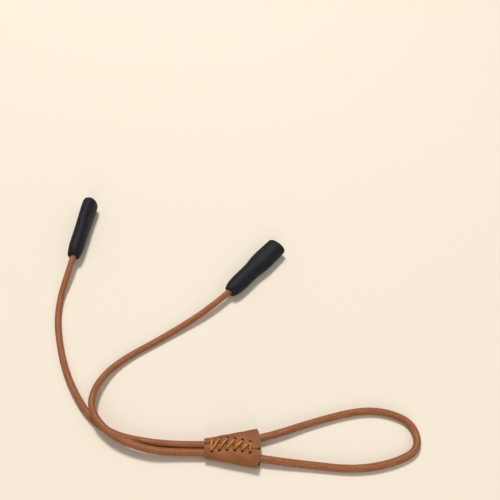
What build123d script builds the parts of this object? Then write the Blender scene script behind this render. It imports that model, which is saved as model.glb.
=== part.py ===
"""Eyeglass retainer strap, laid out on a flat surface.

A round leather cord runs from one soft rubber temple sleeve to the other. Its two
strands pass side by side through a flattened leather slider, which is laced shut along
its top, and a loop of cord hangs out of the slider's wide end. A crimped metal ferrule
on each end of the cord holds it inside its sleeve.

Millimetres. +Z is up from the surface, +X runs from the slider's narrow end to its wide
end, and the sleeves point towards +Y.
"""

import math
import os

from build123d import *

# ---- cord -------------------------------------------------------------------------
CORD_R = 1.5
STRAND_H = 2.55  # height of the cord's centre inside the slider
LEFT_H = 5.53  # height of the left sleeve's axis, which lies turned on its narrow side
RIGHT_H = 4.01  # height of the right sleeve's axis, which lies flat

# The cord's centreline from the left sleeve to the right one, corner by corner.
ROUTE = [
    (-52.6, 43.5, LEFT_H),
    (-53.5, 25.3, LEFT_H),
    (-56.0, 8.7, CORD_R),
    (-53.0, -9.2, CORD_R),
    (-42.8, -34.7, CORD_R),
    (-25.8, -56.7, CORD_R),
    (-2.3, -63.2, STRAND_H),
    (27.7, -63.6, STRAND_H),
    (46.2, -59.9, STRAND_H),
    (65.2, -53.2, CORD_R),
    (84.2, -48.3, CORD_R),
    (95.6, -48.7, CORD_R),
    (106.4, -53.6, CORD_R),
    (107.3, -65.0, CORD_R),
    (95.6, -70.6, CORD_R),
    (80.2, -73.1, CORD_R),
    (63.2, -71.4, CORD_R),
    (45.2, -69.5, STRAND_H),
    (27.7, -66.7, STRAND_H),
    (9.0, -66.5, 2.6),
    (-3.3, -66.2, 3.9),
    (-18.6, -60.7, 4.8),
    (-29.1, -50.4, 5.2),
    (-29.6, -38.4, 4.4),
    (-22.0, -25.1, CORD_R),
    (0.0, -10.9, CORD_R),
    (22.7, 5.7, RIGHT_H),
    (34.3, 19.8, RIGHT_H),
]
BEND_REACH = 0.45  # share of the shorter run that a corner's arc takes up

# ---- temple sleeves ---------------------------------------------------------------
SLEEVE_L = 38.5
SLEEVE_CORD_IN = 10.0  # length of cord inside the sleeve
SOCKET_R = 2.1
SOCKET_L = 24.0
CORD_HOLE_R = 1.55
CHAMBER_R = 2.25
CHAMBER_FROM = 5.4
CHAMBER_TO = 10.6
# distance from the cord end, breadth, depth
SLEEVE_SECTIONS = [
    (0.0, 6.2, 6.0),
    (1.2, 7.0, 6.5),
    (3.5, 8.1, 7.0),
    (7.0, 8.7, 7.3),
    (11.0, 8.8, 7.4),
    (15.5, 8.9, 7.4),
    (18.5, 9.4, 7.4),
    (22.0, 10.4, 7.4),
    (25.5, 10.9, 7.5),
    (31.0, 10.9, 7.9),
    (35.5, 10.6, 8.0),
    (37.5, 10.3, 7.6),
    (38.5, 9.2, 6.8),
]

# ---- ferrules ---------------------------------------------------------------------
FERRULE_R = 2.2
FERRULE_BORE_R = 1.52
FERRULE_L = 5.0
FERRULE_FROM = 5.5  # distance from the sleeve's cord end

# ---- slider -----------------------------------------------------------------------
SLIDER_Y = -65.0
SLIDER_X0 = 19.7  # narrow end
SLIDER_X1 = 42.3  # wide end, at the middle of its curved rim
SLIDER_RIM_R = 21.0  # radius of the wide rim, seen from above
NARROW_W = 8.0
WIDE_W = 16.4
SLIDER_T = 5.8
WALL = 0.8
EDGE_R = 2.85
SEAM_GAP = 0.4
SEAM_Y0 = 1.25  # the seam's offset from the slider's axis at the narrow end
SEAM_Y1 = -1.15  # and at the wide end
SEAM_BEND_FROM = 25.0  # x between which the seam crosses from one offset to the other
SEAM_BEND_TO = 39.5

# ---- lacing -----------------------------------------------------------------------
LACE_R = 0.4
LACE_BEND = 0.55
HOLE_R = 0.6
HOLE_PITCH = 3.07
HOLE_FROM = 22.7  # x of the first pair of holes
STITCHES = 6
BACK_ROW_PEAK = (27.5, 2.95)  # x and offset from the axis where each row is furthest back
FRONT_ROW_PEAK = (28.5, -1.22)
ROW_BEND = 0.013  # how fast a row falls away either side of its peak
LACE_TOP = SLIDER_T + LACE_R + 0.05
LACE_UNDER = SLIDER_T - WALL - LACE_R - 0.05


def corner_radii(points):
    """Radius at each inner corner, so that its arc fits in the runs on both sides."""
    radii = []
    for before, here, after in zip(points, points[1:], points[2:]):
        back = Vector(*before) - Vector(*here)
        ahead = Vector(*after) - Vector(*here)
        half_turn = math.radians(180 - back.get_angle(ahead)) / 2
        radii.append(BEND_REACH * min(back.length, ahead.length) / math.tan(half_turn))
    return radii


def sleeve_axis(inner, outer):
    """Cord end of a sleeve and the direction from there to its open end."""
    axis = (Vector(*inner) - Vector(*outer)).normalized()
    return Vector(*inner) - axis * SLEEVE_CORD_IN, axis


def across(tip, axis, distance):
    """Plane across a sleeve, with its Y axis up."""
    side = axis.cross(Vector(0, 0, 1))
    return Plane(origin=tip + axis * distance, x_dir=side, z_dir=axis)


def seam_y(x):
    """The seam's Y at a given X: a smooth S from one offset to the other."""
    share = min(1, max(0, (x - SEAM_BEND_FROM) / (SEAM_BEND_TO - SEAM_BEND_FROM)))
    return SLIDER_Y + SEAM_Y0 + share**2 * (3 - 2 * share) * (SEAM_Y1 - SEAM_Y0)


def row_y(x, peak):
    """The Y of a row of holes at a given X: a shallow arc."""
    return SLIDER_Y + peak[1] - ROW_BEND * (x - peak[0]) ** 2


os.makedirs("parts", exist_ok=True)

# The leather cord: one length, swept along its whole route.
radii = corner_radii(ROUTE)
with BuildPart() as leather_cord:
    with BuildLine() as centreline:
        FilletPolyline(*ROUTE, radius=radii)
    route = centreline.wire()
    with BuildSketch(Plane(origin=route @ 0, z_dir=route % 0)):
        Circle(CORD_R)
    sweep(path=route)
leather_cord.part.label = "leather_cord"
export_step(leather_cord.part, "parts/leather_cord.step")

# Left temple sleeve: a tapering rubber tube with a socket for the temple tip, a chamber
# for the ferrule and a hole that the cord comes out of.
tip, axis = sleeve_axis(ROUTE[0], ROUTE[1])
with BuildPart() as sleeve_left:
    for distance, breadth, depth in SLEEVE_SECTIONS:
        with BuildSketch(across(tip, axis, distance)):
            Ellipse(depth / 2, breadth / 2)
    loft()
    with BuildSketch(across(tip, axis, SLEEVE_L)):
        Circle(SOCKET_R)
    extrude(amount=-SOCKET_L, mode=Mode.SUBTRACT)
    with BuildSketch(across(tip, axis, CHAMBER_FROM)):
        Circle(CHAMBER_R)
    extrude(amount=CHAMBER_TO - CHAMBER_FROM, mode=Mode.SUBTRACT)
    with BuildSketch(across(tip, axis, -1.0)):
        Circle(CORD_HOLE_R)
    extrude(amount=CHAMBER_FROM + 1.5, mode=Mode.SUBTRACT)
sleeve_left.part.label = "sleeve_left"
export_step(sleeve_left.part, "parts/sleeve_left.step")

# Left ferrule, crimped on the end of the cord.
with BuildPart() as cord_ferrule_left:
    with BuildSketch(across(tip, axis, FERRULE_FROM)):
        Circle(FERRULE_R)
        Circle(FERRULE_BORE_R, mode=Mode.SUBTRACT)
    extrude(amount=FERRULE_L)
cord_ferrule_left.part.label = "cord_ferrule_left"
export_step(cord_ferrule_left.part, "parts/cord_ferrule_left.step")
print("left sleeve: cord end", tip, "axis", axis)

# Right temple sleeve, the same moulding as the left one.
tip, axis = sleeve_axis(ROUTE[-1], ROUTE[-2])
with BuildPart() as sleeve_right:
    for distance, breadth, depth in SLEEVE_SECTIONS:
        with BuildSketch(across(tip, axis, distance)):
            Ellipse(breadth / 2, depth / 2)
    loft()
    with BuildSketch(across(tip, axis, SLEEVE_L)):
        Circle(SOCKET_R)
    extrude(amount=-SOCKET_L, mode=Mode.SUBTRACT)
    with BuildSketch(across(tip, axis, CHAMBER_FROM)):
        Circle(CHAMBER_R)
    extrude(amount=CHAMBER_TO - CHAMBER_FROM, mode=Mode.SUBTRACT)
    with BuildSketch(across(tip, axis, -1.0)):
        Circle(CORD_HOLE_R)
    extrude(amount=CHAMBER_FROM + 1.5, mode=Mode.SUBTRACT)
sleeve_right.part.label = "sleeve_right"
export_step(sleeve_right.part, "parts/sleeve_right.step")

# Right ferrule.
with BuildPart() as cord_ferrule_right:
    with BuildSketch(across(tip, axis, FERRULE_FROM)):
        Circle(FERRULE_R)
        Circle(FERRULE_BORE_R, mode=Mode.SUBTRACT)
    extrude(amount=FERRULE_L)
cord_ferrule_right.part.label = "cord_ferrule_right"
export_step(cord_ferrule_right.part, "parts/cord_ferrule_right.step")
print("right sleeve: cord end", tip, "axis", axis)

# The slider's leather wrap: a flattened cone, butted along a slightly skewed seam on
# top, with a row of lacing holes on each side of the seam.
narrow_end = Plane(origin=(SLIDER_X0, SLIDER_Y, SLIDER_T / 2), x_dir=(0, 1, 0), z_dir=(1, 0, 0))
wide_end = narrow_end.offset(SLIDER_X1 - SLIDER_X0)
seam_x = [SLIDER_X0 + k * (SLIDER_X1 - SLIDER_X0) / 16 for k in range(-1, 18)]
holes = []
for i in range(STITCHES):
    x = HOLE_FROM + i * HOLE_PITCH
    holes += [(x, row_y(x, BACK_ROW_PEAK)), (x, row_y(x, FRONT_ROW_PEAK))]
with BuildPart() as slider_wrap:
    with BuildSketch(narrow_end):
        RectangleRounded(NARROW_W, SLIDER_T, EDGE_R)
    with BuildSketch(wide_end):
        RectangleRounded(WIDE_W, SLIDER_T, EDGE_R)
    loft(ruled=True)
    with BuildSketch(narrow_end):
        RectangleRounded(NARROW_W - 2 * WALL, SLIDER_T - 2 * WALL, EDGE_R - WALL)
    with BuildSketch(wide_end):
        RectangleRounded(WIDE_W - 2 * WALL, SLIDER_T - 2 * WALL, EDGE_R - WALL)
    loft(ruled=True, mode=Mode.SUBTRACT)
    # the wide rim is an arc, seen from above
    with BuildSketch(Plane.XY.offset(-1)):
        with Locations((SLIDER_X1 - SLIDER_RIM_R, SLIDER_Y)):
            Circle(SLIDER_RIM_R)
    extrude(amount=SLIDER_T + 2, mode=Mode.INTERSECT)
    # the seam
    with BuildSketch(Plane.XY.offset(SLIDER_T / 2)):
        with BuildLine():
            Polyline(
                *[(x, seam_y(x) - SEAM_GAP / 2) for x in seam_x],
                *[(x, seam_y(x) + SEAM_GAP / 2) for x in reversed(seam_x)],
                close=True,
            )
        make_face()
    extrude(amount=SLIDER_T, mode=Mode.SUBTRACT)
    # the lacing holes
    with BuildSketch(Plane.XY.offset(SLIDER_T / 2)):
        with Locations(*holes):
            Circle(HOLE_R)
    extrude(amount=SLIDER_T, mode=Mode.SUBTRACT)
slider_wrap.part.label = "slider_wrap"
export_step(slider_wrap.part, "parts/slider_wrap.step")

# The lace: on top a straight stitch across each end of the seam and a slanting stitch
# between each pair of holes and the next. Under the leather it runs straight across. Two
# stitches share the first front hole and the last back hole, side by side.
beside = LACE_R + 0.05
lace_points = [
    (holes[1][0] - beside, holes[1][1], LACE_UNDER),
    (holes[1][0] - beside, holes[1][1], LACE_TOP),
]
for i in range(STITCHES):
    back_x, back_y = holes[2 * i]
    front_x, front_y = holes[2 * i + 1]
    back_x -= beside if i == STITCHES - 1 else 0
    front_x += beside if i == 0 else 0
    lace_points += [
        (back_x, back_y, LACE_TOP),
        (back_x, back_y, LACE_UNDER),
        (front_x, front_y, LACE_UNDER),
        (front_x, front_y, LACE_TOP),
    ]
lace_points += [
    (holes[-2][0] + beside, holes[-2][1], LACE_TOP),
    (holes[-2][0] + beside, holes[-2][1], LACE_UNDER),
]
with BuildPart() as slider_lacing:
    with BuildLine() as lace:
        FilletPolyline(*lace_points, radius=LACE_BEND)
    lace_route = lace.wire()
    with BuildSketch(Plane(origin=lace_route @ 0, z_dir=lace_route % 0)):
        Circle(LACE_R)
    sweep(path=lace_route)
slider_lacing.part.label = "slider_lacing"
export_step(slider_lacing.part, "parts/slider_lacing.step")

print("lace length", round(lace_route.length, 1), "volume", round(slider_lacing.part.volume, 1))
print("cord length", round(route.length, 1), "corner radii", [round(r, 1) for r in radii])
print(
    "tube volume", round(leather_cord.part.volume, 1),
    "section x length", round(math.pi * CORD_R**2 * route.length, 1),
)
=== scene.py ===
"""Eyeglass retainer strap: leather cord, two rubber temple sleeves, laced leather slider."""

import functools
import math

import bmesh
import bpy
import numpy as np
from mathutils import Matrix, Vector


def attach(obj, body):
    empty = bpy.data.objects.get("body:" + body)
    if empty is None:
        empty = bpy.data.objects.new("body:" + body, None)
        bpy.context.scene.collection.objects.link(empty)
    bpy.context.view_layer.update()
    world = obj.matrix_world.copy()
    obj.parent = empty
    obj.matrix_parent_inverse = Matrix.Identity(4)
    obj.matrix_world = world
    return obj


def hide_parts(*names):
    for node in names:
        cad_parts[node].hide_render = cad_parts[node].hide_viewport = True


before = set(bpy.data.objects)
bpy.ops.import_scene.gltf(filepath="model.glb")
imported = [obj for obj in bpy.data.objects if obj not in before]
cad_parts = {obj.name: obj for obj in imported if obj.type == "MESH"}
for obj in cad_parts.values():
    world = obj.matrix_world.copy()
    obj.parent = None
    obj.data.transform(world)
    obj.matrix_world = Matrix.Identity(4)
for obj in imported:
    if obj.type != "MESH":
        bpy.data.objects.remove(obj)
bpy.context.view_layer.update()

MM = 0.001

# ---------------------------------------------------------------- camera and light

camera = bpy.data.cameras.new("camera")
camera.lens = 40
camera.sensor_width = 36
camera_object = bpy.data.objects.new("camera", camera)
bpy.context.scene.collection.objects.link(camera_object)
AIM = Vector((0.0380, 0.0424, 0.0))
camera_object.location = AIM + Vector((0.0, -0.19055, 0.22709))
camera_object.rotation_euler = (AIM - camera_object.location).to_track_quat("-Z", "Y").to_euler()
bpy.context.scene.camera = camera_object


def area_light(name, location, target, size, energy, colour=(1.0, 1.0, 1.0)):
    light = bpy.data.lights.new(name, "AREA")
    light.shape = "SQUARE"
    light.size = size
    light.energy = energy
    light.color = colour
    light_object = bpy.data.objects.new(name, light)
    light_object.location = location
    aim = Vector(target) - Vector(location)
    light_object.rotation_euler = aim.to_track_quat("-Z", "Y").to_euler()
    bpy.context.scene.collection.objects.link(light_object)


area_light("key", (-0.14, 0.72, 1.45), (0.02, -0.03, 0.0), 0.34, 19.0, (1.0, 0.985, 0.965))
area_light("front", (0.10, -0.85, 0.38), (0.02, -0.03, 0.0), 0.50, 2.0, (1.0, 0.975, 0.95))
area_light("right", (0.60, -0.10, 0.55), (0.02, 0.0, 0.0), 0.50, 0.5)

world = bpy.data.worlds.new("world")
bpy.context.scene.world = world
world.use_nodes = True
world.node_tree.nodes["Background"].inputs["Color"].default_value = (1.0, 0.985, 0.96, 1.0)
world.node_tree.nodes["Background"].inputs["Strength"].default_value = 0.27
bpy.context.scene.view_settings.view_transform = "Standard"

# ---------------------------------------------------------------- mesh helpers


def add_mesh(name, verts, faces, uvs=None):
    """Object at the origin from numpy verts; uvs is one (u, v) per face corner."""
    mesh = bpy.data.meshes.new(name)
    mesh.from_pydata([tuple(v) for v in verts], [], faces)
    if uvs is not None:
        layer = mesh.uv_layers.new(name="Along")
        layer.data.foreach_set("uv", np.asarray(uvs, dtype=float).ravel())
    mesh.update()
    mesh.polygons.foreach_set("use_smooth", [True] * len(mesh.polygons))
    piece = bpy.data.objects.new(name, mesh)
    bpy.context.scene.collection.objects.link(piece)
    return piece


def resample(points, step):
    """Points at an even spacing along a polyline."""
    points = np.asarray(points, dtype=float)
    along = np.r_[0.0, np.cumsum(np.linalg.norm(np.diff(points, axis=0), axis=1))]
    count = max(2, int(round(along[-1] / step)) + 1)
    at = np.linspace(0.0, along[-1], count)
    return np.stack([np.interp(at, along, points[:, k]) for k in range(3)], axis=1)


def tangents(points):
    t = np.gradient(points, axis=0)
    return t / np.linalg.norm(t, axis=1)[:, None]


def transported(points, first):
    """A normal at each point, carried along the line without twisting."""
    t = tangents(points)
    n = np.asarray(first, dtype=float)
    out = []
    for k in range(len(points)):
        n = n - t[k] * n.dot(t[k])
        n = n / np.linalg.norm(n)
        out.append(n)
    return np.array(out)


def swept(points, normals, section, cap_steps=3):
    """Rings round a line, with rounded ends. section(k) gives ring k's pairs of offsets.

    Returns verts in metres, faces, and uvs in centimetres."""
    t = tangents(points)
    b = np.cross(t, normals)
    sides = len(section(0))
    along = np.r_[0.0, np.cumsum(np.linalg.norm(np.diff(points, axis=0), axis=1))]
    verts, rows = [], []
    for k in range(len(points)):
        ring = section(k)
        rows.append(along[k])
        for a, c in ring:
            verts.append(points[k] + normals[k] * a + b[k] * c)
    faces, uvs = [], []
    girth = 2 * math.pi * float(np.linalg.norm(section(0)[0]))
    for k in range(len(points) - 1):
        for j in range(sides):
            j2 = (j + 1) % sides
            faces.append((k * sides + j, k * sides + j2, (k + 1) * sides + j2, (k + 1) * sides + j))
            u0, u1 = rows[k] * 100, rows[k + 1] * 100
            v0, v1 = girth * 100 * j / sides, girth * 100 * (j + 1) / sides
            uvs += [(u0, v0), (u0, v1), (u1, v1), (u1, v0)]
    # rounded ends
    for k, sign in ((0, -1.0), (len(points) - 1, 1.0)):
        centre, ring = points[k], [k * sides + j for j in range(sides)]
        reach = 0.35 * float(np.linalg.norm(section(k)[0]))
        for step in range(1, cap_steps + 1):
            angle = 0.5 * math.pi * step / cap_steps
            if step == cap_steps:
                verts.append(centre + t[k] * sign * reach)
                tip = len(verts) - 1
                for j in range(sides):
                    j2 = (j + 1) % sides
                    face = (ring[j], ring[j2], tip) if sign > 0 else (ring[j2], ring[j], tip)
                    faces.append(face)
                    uvs += [(rows[k] * 100, 0.0)] * 3
            else:
                new = []
                outwards = t[k] * sign * reach * math.sin(angle)
                for j in range(sides):
                    verts.append(centre + (verts[k * sides + j] - centre) * math.cos(angle) + outwards)
                    new.append(len(verts) - 1)
                for j in range(sides):
                    j2 = (j + 1) % sides
                    face = (ring[j], ring[j2], new[j2], new[j])
                    faces.append(face if sign > 0 else face[::-1])
                    uvs += [(rows[k] * 100, 0.0)] * 4
                ring = new
    return np.array(verts), faces, uvs


# ---------------------------------------------------------------- materials


class Nodes:
    """Small wrapper that makes and links shader nodes."""

    def __init__(self, name):
        self.material = bpy.data.materials.new(name)
        self.material.use_nodes = True
        self.tree = self.material.node_tree
        self.shader = self.tree.nodes["Principled BSDF"]

    def add(self, kind, **settings):
        node = self.tree.nodes.new(kind)
        for key, value in settings.items():
            setattr(node, key, value)
        return node

    def link(self, out, into):
        self.tree.links.new(out, into)

    def coords(self, kind, scale=(1, 1, 1)):
        source = self.add("ShaderNodeTexCoord")
        mapping = self.add("ShaderNodeMapping")
        mapping.inputs["Scale"].default_value = scale
        self.link(source.outputs[kind], mapping.inputs["Vector"])
        return mapping.outputs["Vector"]

    def noise(self, vector, scale, detail=4.0, rough=0.55):
        node = self.add("ShaderNodeTexNoise")
        node.inputs["Scale"].default_value = scale
        node.inputs["Detail"].default_value = detail
        node.inputs["Roughness"].default_value = rough
        self.link(vector, node.inputs["Vector"])
        return node.outputs["Fac"]

    def cells(self, vector, scale, feature="DISTANCE_TO_EDGE"):
        node = self.add("ShaderNodeTexVoronoi", feature=feature)
        node.inputs["Scale"].default_value = scale
        self.link(vector, node.inputs["Vector"])
        return node.outputs["Distance"]

    def ramp(self, value, stops):
        node = self.add("ShaderNodeValToRGB")
        while len(node.color_ramp.elements) < len(stops):
            node.color_ramp.elements.new(0.5)
        for element, (position, colour) in zip(node.color_ramp.elements, stops):
            element.position = position
            element.color = (*colour, 1.0)
        self.link(value, node.inputs["Fac"])
        return node.outputs["Color"]

    def mix(self, factor, first, second, blend="MIX"):
        node = self.add("ShaderNodeMix", data_type="RGBA", blend_type=blend)
        for socket, value in ((0, factor), (6, first), (7, second)):
            if isinstance(value, (int, float)):
                node.inputs[socket].default_value = value
            elif isinstance(value, tuple):
                node.inputs[socket].default_value = (*value, 1.0)
            else:
                self.link(value, node.inputs[socket])
        return node.outputs[2]

    def spread(self, value, low, high):
        """Value from 0..1 to low..high."""
        node = self.add("ShaderNodeMapRange")
        node.inputs["To Min"].default_value = low
        node.inputs["To Max"].default_value = high
        self.link(value, node.inputs["Value"])
        return node.outputs["Result"]

    def bump(self, height, strength, distance, after=None):
        node = self.add("ShaderNodeBump")
        node.inputs["Strength"].default_value = strength
        node.inputs["Distance"].default_value = distance
        self.link(height, node.inputs["Height"])
        if after is not None:
            self.link(after, node.inputs["Normal"])
        return node.outputs["Normal"]

    def finish(self, colour, roughness, normal, **fixed):
        self.link(colour, self.shader.inputs["Base Color"])
        self.link(roughness, self.shader.inputs["Roughness"])
        self.link(normal, self.shader.inputs["Normal"])
        for key, value in fixed.items():
            self.shader.inputs[key.replace("_", " ")].default_value = value
        return self.material


def cord_leather():
    """Round leather: drawn lengthwise streaks, mottling, fine grain, a soft polish."""
    m = Nodes("cord_leather")
    streak_uv = m.coords("UV", (0.9, 9.0, 1.0))
    fine_uv = m.coords("UV", (7.0, 30.0, 1.0))
    even_uv = m.coords("UV", (1.0, 1.0, 1.0))
    streaks = m.noise(streak_uv, 1.6, 5.0, 0.6)
    mottle = m.noise(even_uv, 5.5, 4.0, 0.6)
    grain = m.noise(fine_uv, 2.2, 5.0, 0.65)
    pores = m.cells(even_uv, 26.0)
    speckle = m.noise(m.coords("UV", (1.0, 1.6, 1.0)), 11.0, 3.0, 0.7)
    colour = m.ramp(streaks, [
        (0.28, (0.235, 0.072, 0.024)),
        (0.46, (0.375, 0.128, 0.045)),
        (0.60, (0.465, 0.172, 0.064)),
        (0.78, (0.545, 0.240, 0.105)),
    ])
    colour = m.mix(m.spread(mottle, 0.0, 0.75), colour, (0.290, 0.098, 0.038), "MIX")
    dark = m.ramp(grain, [(0.30, (0.62, 0.58, 0.55)), (0.62, (1.0, 1.0, 1.0))])
    colour = m.mix(0.75, colour, dark, "MULTIPLY")
    specks = m.ramp(speckle, [
        (0.36, (0.60, 0.55, 0.52)),
        (0.50, (1.0, 1.0, 1.0)),
        (0.66, (1.22, 1.26, 1.30)),
    ])
    colour = m.mix(0.8, colour, specks, "MULTIPLY")
    roughness = m.spread(grain, 0.46, 0.70)
    normal = m.bump(grain, 0.35, 0.00012)
    normal = m.bump(streaks, 0.30, 0.00025, normal)
    normal = m.bump(pores, 0.12, 0.00006, normal)
    return m.finish(colour, roughness, normal, Specular_IOR_Level=0.30, Coat_Weight=0.04, Coat_Roughness=0.35)


def slider_leather():
    """Smooth vegetable-tanned leather with a fine pebble and soft rubbed patches."""
    m = Nodes("slider_leather")
    where = m.coords("Object", (1000.0, 1000.0, 1000.0))
    broad = m.noise(where, 0.16, 3.0, 0.5)
    cloud = m.noise(where, 0.55, 4.0, 0.6)
    grain = m.noise(where, 3.4, 5.0, 0.6)
    pebble = m.cells(where, 2.1)
    colour = m.ramp(broad, [
        (0.30, (0.262, 0.090, 0.028)),
        (0.50, (0.322, 0.115, 0.036)),
        (0.72, (0.380, 0.143, 0.047)),
    ])
    colour = m.mix(m.spread(cloud, 0.0, 0.45), colour, (0.250, 0.095, 0.035), "MIX")
    speck = m.ramp(grain, [(0.33, (0.74, 0.70, 0.66)), (0.60, (1.0, 1.0, 1.0))])
    colour = m.mix(0.55, colour, speck, "MULTIPLY")
    # painted shade: the colour is darkened along the pebble's creases, where shade would fall in its hollows
    crease_shade = m.ramp(pebble, [(0.0, (0.78, 0.74, 0.70)), (0.12, (1.0, 1.0, 1.0))])
    colour = m.mix(0.45, colour, crease_shade, "MULTIPLY")
    roughness = m.spread(cloud, 0.46, 0.62)
    normal = m.bump(pebble, 0.22, 0.00008)
    normal = m.bump(grain, 0.20, 0.00006, normal)
    normal = m.bump(cloud, 0.25, 0.00020, normal)
    return m.finish(colour, roughness, normal, Specular_IOR_Level=0.22)


def cut_edge():
    """Raw cut edge of the leather: paler, fibrous, dry."""
    m = Nodes("cut_edge")
    where = m.coords("Object", (1000.0, 1000.0, 1000.0))
    fibre = m.noise(where, 2.6, 5.0, 0.7)
    colour = m.ramp(fibre, [
        (0.30, (0.300, 0.110, 0.034)),
        (0.52, (0.560, 0.235, 0.082)),
        (0.75, (0.700, 0.350, 0.150)),
    ])
    roughness = m.spread(fibre, 0.62, 0.85)
    normal = m.bump(fibre, 0.55, 0.00012)
    return m.finish(colour, roughness, normal, Specular_IOR_Level=0.30)


def lace_leather():
    """Waxed lace: orange tan, glossy on its rounded back, fibrous in the creases."""
    m = Nodes("lace_leather")
    along = m.coords("UV", (6.0, 22.0, 1.0))
    even = m.coords("UV", (1.0, 1.0, 1.0))
    fibre = m.noise(along, 1.8, 4.0, 0.6)
    patch = m.noise(even, 4.0, 3.0, 0.5)
    colour = m.ramp(fibre, [
        (0.28, (0.240, 0.070, 0.010)),
        (0.50, (0.520, 0.185, 0.024)),
        (0.74, (0.720, 0.320, 0.062)),
    ])
    colour = m.mix(m.spread(patch, 0.0, 0.5), colour, (0.350, 0.120, 0.018), "MIX")
    roughness = m.spread(fibre, 0.28, 0.5)
    normal = m.bump(fibre, 0.40, 0.00010)
    return m.finish(colour, roughness, normal, Specular_IOR_Level=0.5, Coat_Weight=0.25, Coat_Roughness=0.22)


def sleeve_rubber():
    """Moulded black silicone: matt, with a faint satin bloom and fine mould texture."""
    m = Nodes("sleeve_rubber")
    where = m.coords("Object", (1000.0, 1000.0, 1000.0))
    bloom = m.noise(where, 0.35, 3.0, 0.5)
    fine = m.noise(where, 7.0, 3.0, 0.6)
    colour = m.ramp(bloom, [
        (0.30, (0.0080, 0.0080, 0.0115)),
        (0.70, (0.0140, 0.0140, 0.0190)),
    ])
    roughness = m.spread(bloom, 0.52, 0.66)
    normal = m.bump(fine, 0.18, 0.00004)
    normal = m.bump(bloom, 0.15, 0.00020, normal)
    return m.finish(colour, roughness, normal, Specular_IOR_Level=0.18)


def ferrule_metal():
    """Crimped aluminium tube with drawing marks."""
    m = Nodes("ferrule_metal")
    where = m.coords("Object", (1000.0, 1000.0, 1000.0))
    marks = m.noise(where, 4.0, 3.0, 0.6)
    colour = m.ramp(marks, [(0.3, (0.50, 0.50, 0.51)), (0.7, (0.68, 0.68, 0.69))])
    roughness = m.spread(marks, 0.3, 0.45)
    normal = m.bump(marks, 0.2, 0.00005)
    return m.finish(colour, roughness, normal, Metallic=1.0)


def floor_paint():
    m = Nodes("floor_paint")
    where = m.coords("Object", (1.0, 1.0, 1.0))
    tone = m.noise(where, 3.0, 2.0, 0.5)
    colour = m.ramp(tone, [(0.2, (0.900, 0.810, 0.675)), (0.8, (0.915, 0.830, 0.695))])
    roughness = m.spread(tone, 0.75, 0.85)
    normal = m.bump(tone, 0.02, 0.0002)
    return m.finish(colour, roughness, normal, Specular_IOR_Level=0.2)


CORD_LEATHER = cord_leather()
SLIDER_LEATHER = slider_leather()
CUT_EDGE = cut_edge()
LACE_LEATHER = lace_leather()
SLEEVE_RUBBER = sleeve_rubber()
FERRULE_METAL = ferrule_metal()

# ---------------------------------------------------------------- floor

floor_mesh = bpy.data.meshes.new("floor")
floor_mesh.from_pydata([(-3, -3, 0), (3, -3, 0), (3, 3, 0), (-3, 3, 0)], [], [(0, 1, 2, 3)])
floor_mesh.materials.append(floor_paint())
floor = bpy.data.objects.new("floor", floor_mesh)
bpy.context.scene.collection.objects.link(floor)

# ---------------------------------------------------------------- the leather cord

CORD_R = 1.5
STRAND_H = 2.55
LEFT_H = 5.53
RIGHT_H = 4.01
ROUTE = [
    (-52.6, 43.5, LEFT_H),
    (-53.5, 25.3, LEFT_H),
    (-56.0, 8.7, CORD_R),
    (-53.0, -9.2, CORD_R),
    (-42.8, -34.7, CORD_R),
    (-25.8, -56.7, CORD_R),
    (-2.3, -63.2, STRAND_H),
    (27.7, -63.6, STRAND_H),
    (46.2, -59.9, STRAND_H),
    (65.2, -53.2, CORD_R),
    (84.2, -48.3, CORD_R),
    (95.6, -48.7, CORD_R),
    (106.4, -53.6, CORD_R),
    (107.3, -65.0, CORD_R),
    (95.6, -70.6, CORD_R),
    (80.2, -73.1, CORD_R),
    (63.2, -71.4, CORD_R),
    (45.2, -69.5, STRAND_H),
    (27.7, -66.7, STRAND_H),
    (9.0, -66.5, 2.6),
    (-3.3, -66.2, 3.9),
    (-18.6, -60.7, 4.8),
    (-29.1, -50.4, 5.2),
    (-29.6, -38.4, 4.4),
    (-22.0, -25.1, CORD_R),
    (0.0, -10.9, CORD_R),
    (22.7, 5.7, RIGHT_H),
    (34.3, 19.8, RIGHT_H),
]


def spline_points(name, points_mm, resolution=24):
    """Points along the NURBS line that has these control points."""
    curve = bpy.data.curves.new(name, "CURVE")
    curve.dimensions = "3D"
    spline = curve.splines.new("NURBS")
    spline.points.add(len(points_mm) - 1)
    for point, (x, y, z) in zip(spline.points, points_mm):
        point.co = (x * MM, y * MM, z * MM, 1.0)
    spline.order_u = 3
    spline.use_endpoint_u = True
    curve.resolution_u = resolution
    holder = bpy.data.objects.new(name, curve)
    line = bpy.data.meshes.new_from_object(holder)
    points = np.array([v.co[:] for v in line.vertices])
    bpy.data.objects.remove(holder)
    bpy.data.curves.remove(curve)
    bpy.data.meshes.remove(line)
    return points


cord_line = resample(spline_points("cord_route", ROUTE), 0.45 * MM)
rng = np.random.default_rng(7)


def smooth_noise(count, spacing, rng):
    """Gentle random wave of unit size over count samples."""
    knots = rng.uniform(-1.0, 1.0, int(count / spacing) + 4)
    at = np.arange(count) / spacing
    base = np.floor(at).astype(int)
    f = at - base
    f = f * f * (3 - 2 * f)
    return knots[base] * (1 - f) + knots[base + 1] * f


SIDES = 24
cord_count = len(cord_line)
swell = 1.0 + 0.012 * smooth_noise(cord_count, 22, rng) + 0.006 * smooth_noise(cord_count, 6, rng)
flats = [0.010 * smooth_noise(cord_count, 60, rng) for _ in range(4)]
flat_turn = 1.2 * smooth_noise(cord_count, 260, rng)


def cord_section(k):
    ring = []
    for j in range(SIDES):
        angle = 2 * math.pi * j / SIDES
        turn = angle + flat_turn[k]
        facet = 0.012 * math.cos(5 * turn)
        facet += flats[0][k] * math.cos(2 * turn) + flats[1][k] * math.cos(3 * turn)
        r = CORD_R * MM * min(swell[k] + facet, 1.03)
        ring.append((r * math.cos(angle), r * math.sin(angle)))
    return ring


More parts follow.
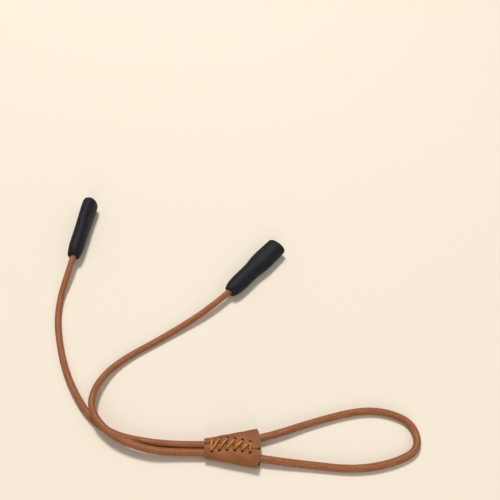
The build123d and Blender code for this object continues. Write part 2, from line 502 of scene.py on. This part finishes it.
cord_up = np.tile(np.array([0.0, 0.0, 1.0]), (cord_count, 1))
t = tangents(cord_line)
cord_normals = cord_up - t * np.sum(cord_up * t, axis=1)[:, None]
cord_normals /= np.linalg.norm(cord_normals, axis=1)[:, None]
verts, faces, uvs = swept(cord_line, cord_normals, cord_section)
verts[:, 2] = np.maximum(verts[:, 2], 0.0)
cord = add_mesh("round_leather_cord", verts, faces, uvs)
cord.data.materials.append(CORD_LEATHER)
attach(cord, "strap")
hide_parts("leather_cord")

# ---------------------------------------------------------------- temple sleeves

# distance from the cord end, half breadth, half depth
SLEEVE_PROFILE = [
    (0.0, 2.45, 2.40),
    (0.06, 2.78, 2.70),
    (0.25, 3.00, 2.90),
    (0.7, 3.22, 3.08),
    (1.5, 3.50, 3.24),
    (2.6, 3.82, 3.38),
    (4.0, 4.10, 3.52),
    (6.0, 4.32, 3.63),
    (9.0, 4.42, 3.70),
    (12.5, 4.42, 3.70),
    (15.5, 4.43, 3.70),
    (17.5, 4.55, 3.69),
    (19.5, 4.82, 3.67),
    (21.5, 5.16, 3.65),
    (23.5, 5.40, 3.65),
    (26.0, 5.47, 3.70),
    (29.0, 5.46, 3.82),
    (32.5, 5.38, 3.96),
    (35.5, 5.31, 4.01),
    (37.1, 5.27, 3.95),
    (37.8, 5.15, 3.80),
    (38.25, 4.94, 3.54),
    (38.45, 4.62, 3.20),
    (38.5, 4.20, 2.85),
]
SOCKET_R = 2.1
SLEEVE_SIDES = 64


def sleeve(name, tip, axis, node, seed, on_side):
    """One moulded sleeve. on_side turns its breadth upright."""
    tip = np.array(tip) * MM
    axis = np.array(axis) / np.linalg.norm(axis)
    up = np.array([0.0, 0.0, 1.0])
    side = np.cross(axis, up)
    if on_side:
        side, up = up, -side
    knots = np.array(SLEEVE_PROFILE)
    body = np.arange(1.5, 36.9, 0.4)
    fine = [tuple(knot) for knot in knots if knot[0] < 1.5]
    widths = [soft_curve(body, knots[:, 0], knots[:, k]) for k in (1, 2)]
    local = np.random.default_rng(seed)
    waves = [0.025 * smooth_noise(len(body), 16, local) for _ in range(2)]
    fine += [tuple(row) for row in np.stack([body, widths[0] + waves[0], widths[1] + waves[1]], axis=1)]
    fine += [tuple(knot) for knot in knots if knot[0] > 37.0]
    # over the lip and down the socket
    lip = [(38.49, 3.4, 2.55), (38.43, 2.75, 2.36), (38.28, 2.36, 2.22), (37.95, 2.14, 2.13)]
    socket = [(37.5 - 2.23 * i, SOCKET_R, SOCKET_R) for i in range(11)]
    floor_rings = [(15.05, 1.9, 1.9), (15.0, 1.2, 1.2), (15.0, 0.6, 0.6)]
    # the cord hole, from its bottom outwards, comes before the first ring
    mouth = [(5.4, 0.8, 0.8), (5.4, 1.54, 1.54)] + [(5.0 - 0.9 * i, 1.54, 1.54) for i in range(6)]
    mouth += [(0.22, 1.56, 1.56), (0.08, 1.66, 1.66), (0.01, 1.88, 1.86)]
    rings = mouth + fine + lip + socket + floor_rings
    verts = []
    for s, w, h in rings:
        centre = tip + axis * s * MM
        # from circles in the bores to slightly squared ovals outside
        n = 2.0 + 0.18 * min(1.0, max(0.0, w - 2.8))
        parting = 0.035 if w > 3.2 else 0.0
        for j in range(SLEEVE_SIDES):
            a = 2 * math.pi * j / SLEEVE_SIDES
            ca, sa = math.cos(a), math.sin(a)
            ridge = 1.0 + parting / w * math.exp(-((sa / 0.06) ** 2))
            x = w * ridge * math.copysign(abs(ca) ** (2 / n), ca)
            y = h * math.copysign(abs(sa) ** (2 / n), sa)
            verts.append(centre + side * x * MM + up * y * MM)
    faces = []
    for k in range(len(rings) - 1):
        for j in range(SLEEVE_SIDES):
            j2 = (j + 1) % SLEEVE_SIDES
            row, above = k * SLEEVE_SIDES, (k + 1) * SLEEVE_SIDES
            faces.append((row + j, row + j2, above + j2, above + j))
    first, last = len(verts), len(verts) + 1
    verts.append(tip + axis * rings[0][0] * MM)
    verts.append(tip + axis * rings[-1][0] * MM)
    end = (len(rings) - 1) * SLEEVE_SIDES
    for j in range(SLEEVE_SIDES):
        j2 = (j + 1) % SLEEVE_SIDES
        faces.append((j2, j, first))
        faces.append((end + j, end + j2, last))
    verts = np.array(verts)
    verts[:, 2] = np.maximum(verts[:, 2], 0.0)
    piece = add_mesh(name, verts, faces)
    face_outwards(piece)
    piece.data.materials.append(SLEEVE_RUBBER)
    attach(piece, "strap")
    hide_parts(node)
    return piece


def soft_curve(at, x, y):
    """Values at some x of a smoothed line through knots."""
    grid = np.arange(x[0], x[-1], 0.1)
    values = np.interp(grid, x, y)
    kernel = np.exp(-0.5 * (np.arange(-30, 31) / 10.0) ** 2)
    padded = np.pad(values, 30, mode="edge")
    return np.interp(at, grid, np.convolve(padded, kernel / kernel.sum(), mode="valid"))


def face_outwards(piece):
    bm = bmesh.new()
    bm.from_mesh(piece.data)
    bmesh.ops.recalc_face_normals(bm, faces=bm.faces)
    bm.to_mesh(piece.data)
    bm.free()


LEFT_TIP, LEFT_AXIS = (-53.0939, 33.5122, LEFT_H), (0.04939, 0.99878, 0.0)
RIGHT_TIP, RIGHT_AXIS = (27.9468, 12.0775, RIGHT_H), (0.635323, 0.772246, 0.0)
sleeve("temple_sleeve_left", LEFT_TIP, LEFT_AXIS, "sleeve_left", 3, on_side=True)
sleeve("temple_sleeve_right", RIGHT_TIP, RIGHT_AXIS, "sleeve_right", 4, on_side=False)

for node in ("cord_ferrule_left", "cord_ferrule_right"):
    for material_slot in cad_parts[node].material_slots:
        material_slot.material = FERRULE_METAL

# ---------------------------------------------------------------- the slider's wrap

SLIDER_Y = -65.0
SLIDER_X0 = 19.7
SLIDER_X1 = 42.3
SLIDER_RIM_R = 21.0
NARROW_W = 7.9
WIDE_W = 16.4
NARROW_T = 5.5
WIDE_T = 5.8
WALL = 0.65
# the seam's distance behind the axis at each end, and the stretch where it changes
SEAM_Y0 = 1.25
SEAM_Y1 = -1.15
SEAM_BEND_FROM = 25.0
SEAM_BEND_TO = 39.5
SEAM_GAP = 0.36
SKIVE = 0.7  # how far the wide rim's outer edge is sloped back
SECTION_STEP = 0.2


def section_shape(x):
    """Half width, half thickness and squareness of the wrap's outer oval at x."""
    f = (x - SLIDER_X0) / (SLIDER_X1 - SLIDER_X0)
    half_width = 0.5 * (NARROW_W + f * (WIDE_W - NARROW_W))
    half_thickness = 0.5 * (NARROW_T + f * (WIDE_T - NARROW_T))
    return half_width, half_thickness, 2.35 + 0.55 * f


@functools.cache
def section_curve(step):
    """The wrap's outer outline at a step along the slider, from the seam round by the back.

    Returns arc lengths, y and z, in millimetres."""
    x = SLIDER_X0 + step * SECTION_STEP
    w, h, n = section_shape(x)
    a = np.linspace(0.0, 2 * math.pi, 1441)
    y = w * np.sign(np.cos(a)) * np.abs(np.cos(a)) ** (2 / n)
    z = h * np.sign(np.sin(a)) * np.abs(np.sin(a)) ** (2 / n)
    # start at the seam: the point on top with this y
    bend = min(1.0, max(0.0, (x - SEAM_BEND_FROM) / (SEAM_BEND_TO - SEAM_BEND_FROM)))
    seam = SEAM_Y0 + bend**2 * (3 - 2 * bend) * (SEAM_Y1 - SEAM_Y0)
    top = np.where(z > 0)[0]
    start = np.interp(-seam, -y[top], top)
    turn = (start - np.arange(1441)) % 1440
    y, z = np.interp(turn, np.arange(1441), y), np.interp(turn, np.arange(1441), z)
    along = np.r_[0.0, np.cumsum(np.hypot(np.diff(y), np.diff(z)))]
    return along, y + SLIDER_Y, z + h


def girth(x):
    return section_curve(round((x - SLIDER_X0) / SECTION_STEP))[0][-1]


def wrap_point(x, c):
    """Outer surface point at x and signed arc distance c from the seam (back positive)."""
    at = (x - SLIDER_X0) / SECTION_STEP
    low = math.floor(at)
    point = np.array([x, 0.0, 0.0])
    for step, weight in ((low, 1 - at + low), (low + 1, at - low)):
        along, y, z = section_curve(step)
        point[1] += weight * np.interp(c % along[-1], along, y)
        point[2] += weight * np.interp(c % along[-1], along, z)
    return point


def wrap_normal(x, c):
    d = 0.15
    px = wrap_point(x + d, c) - wrap_point(x - d, c)
    pc = wrap_point(x, c + d) - wrap_point(x, c - d)
    normal = np.cross(pc, px)
    normal /= np.linalg.norm(normal)
    if normal.dot(wrap_point(x, c) - (x, SLIDER_Y, WIDE_T / 2)) < 0:
        normal = -normal
    return normal


def row_distance(x, peak):
    """Arc distance from the seam of a row of holes at x; the row is a shallow arc."""
    y = SLIDER_Y + peak[1] - ROW_BEND * (x - peak[0]) ** 2
    return min(np.linspace(-6.0, 6.0, 241), key=lambda c: abs(wrap_point(x, c)[1] - y))


HOLE_FROM = 22.7
HOLE_PITCH = 3.07
STITCHES = 6
# x and distance behind the axis where each row of holes is furthest back
BACK_ROW_PEAK = (25.8, 3.4)
FRONT_ROW_PEAK = (28.8, -1.25)
ROW_BEND = 0.013
HOLES = []
for i in range(STITCHES):
    hole_x = HOLE_FROM + i * HOLE_PITCH
    HOLES += [(hole_x, row_distance(hole_x, peak)) for peak in (BACK_ROW_PEAK, FRONT_ROW_PEAK)]


def build_wrap():
    columns, rows = 170, 96
    verts = []
    for r in range(rows + 1):
        v = r / rows
        x_mid = SLIDER_X0 + v * (SLIDER_X1 - SLIDER_X0)
        total = girth(x_mid)
        for q in range(columns + 1):
            u = q / columns
            c = SEAM_GAP / 2 + u * (total - SEAM_GAP)
            from_seam = min(c, total - c)
            p = wrap_point(x_mid, c)
            lateral = p[1] - SLIDER_Y
            # rims: the wide one is an arc, and the flaps' corners are rounded at the seam
            if c < total / 2:
                wide_cut = 1.5 * max(0.0, 1 - from_seam / 2.1) ** 2
                narrow_cut = 0.55 * max(0.0, 1 - from_seam / 2.3) - 0.35
            else:
                wide_cut = 1.1 * max(0.0, 1 - from_seam / 1.2) ** 2
                narrow_cut = 1.0 * max(0.0, 1 - from_seam / 1.2) ** 2
            # underneath, the rim is straighter than on top
            wide_cut += lateral**2 / (2 * SLIDER_RIM_R) * (0.3 + 0.7 * p[2] / WIDE_T)
            x = SLIDER_X0 + narrow_cut + v * (SLIDER_X1 - wide_cut - SLIDER_X0 - narrow_cut)
            signed = c if c <= total / 2 else c - total
            p = wrap_point(x, signed)
            normal = wrap_normal(x, signed)
            # the lace pulls the leather down at each hole and lifts the edges between
            dip = 0.0
            for hx, hc in HOLES:
                away = math.hypot(x - hx, signed - hc)
                dip -= 0.17 * math.exp(-((away / 0.85) ** 2))
            near = math.exp(-((from_seam / 1.1) ** 2))
            phase = math.cos(2 * math.pi * (x - HOLE_FROM) / HOLE_PITCH)
            dip += near * (0.10 - 0.10 * phase)
            # at the narrow end the back flap stands proud of the front one
            proud = math.exp(-((x - SLIDER_X0) / 3.2) ** 2) * math.exp(-((from_seam / 1.8) ** 2))
            dip += proud * (0.42 if signed > 0 else -0.22)
            wavy = 0.05 * math.sin(0.55 * x + 1.3 * signed) * (1 if p[2] > 1.5 else 0)
            p = p + normal * (dip + wavy)
            p[2] = max(p[2], 0.0)
            verts.append(p * MM)
    faces = []
    stride = columns + 1
    for r in range(rows):
        for q in range(columns):
            i = r * stride + q
            faces.append((i, i + 1, i + stride + 1, i + stride))
    piece = add_mesh("slider_leather_wrap", np.array(verts), faces)
    piece.data.materials.append(SLIDER_LEATHER)
    piece.data.materials.append(CUT_EDGE)
    middle = piece.data.polygons[len(piece.data.polygons) // 2]
    outward = middle.center - Vector((middle.center[0], SLIDER_Y * MM, WIDE_T / 2 * MM))
    solid = piece.modifiers.new("thick", "SOLIDIFY")
    solid.thickness = WALL * MM
    solid.offset = -1.0 if middle.normal.dot(outward) > 0 else 1.0
    solid.material_offset_rim = 1
    apply_modifiers(piece)
    face_outwards(piece)
    skive_rim(piece)
    soft = piece.modifiers.new("soft_edges", "BEVEL")
    soft.width = 0.16 * MM
    soft.segments = 3
    soft.limit_method = "ANGLE"
    soft.angle_limit = math.radians(50)
    apply_modifiers(piece)
    merged = bmesh.new()
    for hx, hc in HOLES:
        merged.from_mesh(hole_cutter(hx, hc))
    cutter = bpy.data.meshes.new("punches")
    merged.to_mesh(cutter)
    merged.free()
    cutter.materials.append(SLIDER_LEATHER)
    cutter.materials.append(CUT_EDGE)
    cutter.polygons.foreach_set("material_index", [1] * len(cutter.polygons))
    punch = bpy.data.objects.new("punches", cutter)
    bpy.context.scene.collection.objects.link(punch)
    cut = piece.modifiers.new("holes", "BOOLEAN")
    cut.operation = "DIFFERENCE"
    cut.solver = "EXACT"
    cut.object = punch
    apply_modifiers(piece)
    bpy.data.objects.remove(punch)
    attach(piece, "slider")
    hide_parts("slider_wrap")
    return piece


def skive_rim(piece):
    """Slope the wide rim's outer edge, so that its cut face shows from above."""
    mesh = piece.data
    on_rim = {v for face in mesh.polygons if face.material_index == 1 for v in face.vertices}
    rim_from = SLIDER_X1 - 3.5
    for v in on_rim:
        x, y, z = (k / MM for k in mesh.vertices[v].co)
        half_w, half_t, n = section_shape(x)
        level = (abs((y - SLIDER_Y) / half_w) ** n + abs((z - half_t) / half_t) ** n) ** (1 / n)
        if x > rim_from and level > 0.94:
            mesh.vertices[v].co.x -= SKIVE * MM


def hole_cutter(x, c):
    """Closed oval prism through the wall at x and c, drawn out across the seam."""
    centre, normal = Vector(wrap_point(x, c)), Vector(wrap_normal(x, c))
    across = (Vector(wrap_point(x, c + 0.2)) - Vector(wrap_point(x, c - 0.2))).normalized()
    along = normal.cross(across)
    count = 20
    verts = []
    for reach, grow in ((0.9, 1.25), (0.02, 1.1), (-0.2, 1.0), (-1.4, 1.0)):
        for j in range(count):
            a = 2 * math.pi * j / count
            offset = across * 0.84 * math.cos(a) + along * 0.56 * math.sin(a)
            verts.append((centre + normal * reach + offset * grow) * MM)
    faces = []
    for k in range(3):
        for j in range(count):
            j2 = (j + 1) % count
            faces.append((k * count + j, (k + 1) * count + j, (k + 1) * count + j2, k * count + j2))
    faces.append(tuple(range(count)))
    faces.append(tuple(3 * count + j for j in reversed(range(count))))
    mesh = bpy.data.meshes.new("punch")
    mesh.from_pydata([tuple(v) for v in verts], [], faces)
    mesh.update()
    return mesh


def apply_modifiers(piece):
    """Put the result of the piece's modifiers in its mesh."""
    depsgraph = bpy.context.evaluated_depsgraph_get()
    result = bpy.data.meshes.new_from_object(piece.evaluated_get(depsgraph))
    old = piece.data
    piece.modifiers.clear()
    piece.data = result
    bpy.data.meshes.remove(old)


build_wrap()

# ---------------------------------------------------------------- the lace

LACE_R = 0.56
SEAM_SIDE = 0.5  # how far towards the seam the lace sits in each hole


def over(first, second, lift):
    """Points across the top of the leather from one hole to another."""
    points = []
    for f in np.linspace(0.0, 1.0, 9):
        x = first[0] + f * (second[0] - first[0])
        c = first[1] + f * (second[1] - first[1])
        height = lift * (0.25 + 0.75 * math.sin(math.pi * f) ** 0.5)
        points.append(wrap_point(x, c) + wrap_normal(x, c) * height)
    return points


def beneath(first, second, depth):
    points = []
    for f in np.linspace(0.0, 1.0, 5):
        x = first[0] + f * (second[0] - first[0])
        c = first[1] + f * (second[1] - first[1])
        points.append(wrap_point(x, c) - wrap_normal(x, c) * depth)
    return points


def shifted(point, dx, dc=0.0):
    return point[0] + dx, point[1] + dc


def build_lace():
    back = [(x, c - SEAM_SIDE) for x, c in HOLES[0::2]]
    front = [(x, c + SEAM_SIDE) for x, c in HOLES[1::2]]
    beside = 0.26
    under = WALL + LACE_R + 0.02
    lift = LACE_R + 0.06
    points = beneath(shifted(front[0], -beside, 1.2), shifted(front[0], -beside), under)
    points += over(shifted(front[0], -beside), back[0], lift)
    points += beneath(back[0], shifted(front[0], beside), under)
    for i in range(1, STITCHES):
        start = shifted(front[i - 1], beside if i == 1 else 0.0)
        end = shifted(back[i], -beside if i == STITCHES - 1 else 0.0)
        points += over(start, end, lift)
        points += beneath(end, front[i], under)
    points += over(front[-1], shifted(back[-1], beside), lift)
    points += beneath(shifted(back[-1], beside), shifted(back[-1], beside, -1.2), under)
    line = resample(spline_points("lace_route", points, 8), 0.11 * MM)
    count = len(line)
    local = np.random.default_rng(11)
    plump = 1.0 + 0.08 * smooth_noise(count, 11, local) + 0.05 * smooth_noise(count, 4, local)
    twist = 0.6 * smooth_noise(count, 60, local)

    def section(k):
        ring = []
        for j in range(14):
            angle = 2 * math.pi * j / 14
            a = 0.86 * math.cos(angle)
            b = 1.06 * math.sin(angle)
            ca, sa = math.cos(twist[k]), math.sin(twist[k])
            scale = LACE_R * MM * plump[k]
            ring.append((scale * (a * ca - b * sa), scale * (a * sa + b * ca)))
        return ring

    normals = transported(line, (0.0, 0.0, 1.0) if abs(tangents(line)[0][2]) < 0.9 else (1.0, 0.0, 0.0))
    verts, faces, uvs = swept(line, normals, section)
    piece = add_mesh("slider_lace", verts, faces, uvs)
    face_outwards(piece)
    piece.data.materials.append(LACE_LEATHER)
    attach(piece, "slider")
    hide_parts("slider_lacing")
    return piece


build_lace()
face_outwards(cord)
